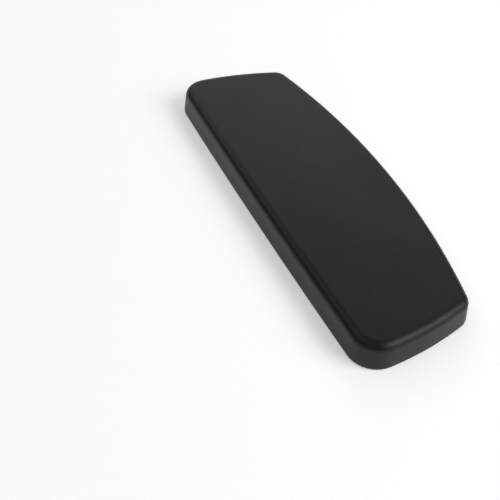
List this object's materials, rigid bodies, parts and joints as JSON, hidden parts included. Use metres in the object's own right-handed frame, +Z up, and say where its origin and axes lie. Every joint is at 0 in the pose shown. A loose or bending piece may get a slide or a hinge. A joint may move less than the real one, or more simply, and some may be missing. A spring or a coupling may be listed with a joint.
{
  "type": "chair armrest pad",
  "caption": "Flat soft armrest pad for an office chair, one long side nearly straight and the other curved, with a rounded top edge and a screwed base cover.",
  "frame": {"origin": "middle of the rectangle that bounds the underside, in the plane of the underside", "axes": "+X along the length of the pad, +Y from the nearly straight long side to the curved long side, +Z up, from the underside to the top where the forearm rests"},
  "size_m": [0.2596, 0.0902, 0.0174],
  "materials": {
    "skin": "black moulded polyurethane skin, satin, with a very fine leather-like grain",
    "foam": "matt dark grey open-cell polyurethane foam",
    "carrier": "black glass-filled nylon, matt, moulded",
    "cover": "black polypropylene with a fine spark-eroded texture",
    "insert": "machined brass",
    "screw": "bright zinc plate"
  },
  "bodies": {
    "root": {"cushion_skin": "skin", "foam_core": "foam", "carrier_plate": "carrier", "base_cover": "cover", "threaded_insert_1": "insert", "threaded_insert_2": "insert", "threaded_insert_3": "insert", "threaded_insert_4": "insert", "cover_screw_1": "screw", "cover_screw_2": "screw", "cover_screw_3": "screw", "cover_screw_4": "screw", "cover_screw_5": "screw", "cover_screw_6": "screw"}
  },
  "joints": []
}
